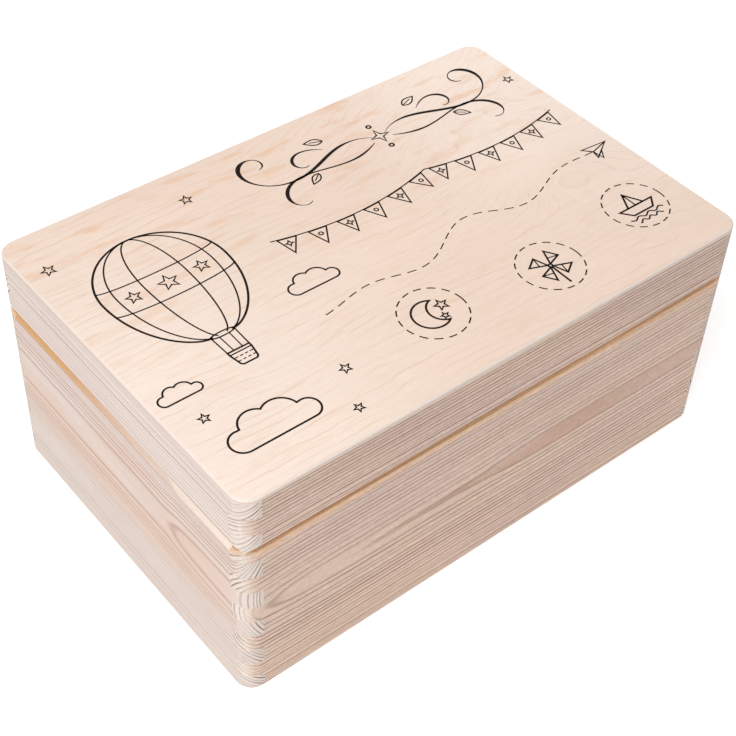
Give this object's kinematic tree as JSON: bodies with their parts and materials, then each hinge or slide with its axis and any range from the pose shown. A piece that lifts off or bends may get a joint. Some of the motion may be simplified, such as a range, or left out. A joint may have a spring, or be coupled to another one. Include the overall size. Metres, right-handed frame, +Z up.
{
  "type": "keepsake box",
  "caption": "Oblong pine box with finger-jointed corners, a V-groove between base and lid, a plywood top, and a lid on butt hinges along the back.",
  "frame": {"origin": "middle of the underside, on the surface that the box stands on", "axes": "+X to the right along the long side, +Y to the back where the hinges are, +Z up"},
  "size_m": [0.3, 0.198, 0.133],
  "materials": {
    "top_plywood": null,
    "front_pine": "planed and sanded pine, unvarnished",
    "back_pine": "planed and sanded pine, unvarnished",
    "side_pine": "planed and sanded pine, unvarnished",
    "bottom_plywood": "thin plywood, raw",
    "hinge_plate": "brass-plated pressed steel",
    "hinge_pin": "drawn steel wire, peened ends",
    "screws": "brass-plated countersunk screws"
  },
  "bodies": {
    "base": {"base_front_board": "front_pine", "base_back_board": "back_pine", "base_left_board": "side_pine", "base_right_board": "side_pine", "bottom_panel": "bottom_plywood", "left_hinge_base_leaf": "hinge_plate", "left_hinge_pin": "hinge_pin", "left_hinge_base_screws": "screws", "right_hinge_base_leaf": "hinge_plate", "right_hinge_pin": "hinge_pin", "right_hinge_base_screws": "screws"},
    "lid": {"lid_panel": "top_plywood", "lid_front_board": "front_pine", "lid_back_board": "back_pine", "lid_left_board": "side_pine", "lid_right_board": "side_pine", "left_hinge_lid_leaf": "hinge_plate", "left_hinge_lid_screws": "screws", "right_hinge_lid_leaf": "hinge_plate", "right_hinge_lid_screws": "screws"}
  },
  "joints": [
    {"name": "lid_hinge", "type": "hinge", "parent": "base", "child": "lid", "pos_m": [0, 0.0973, 0.0991], "axis": [-1, 0, 0], "range_deg": [0, 115]}
  ]
}
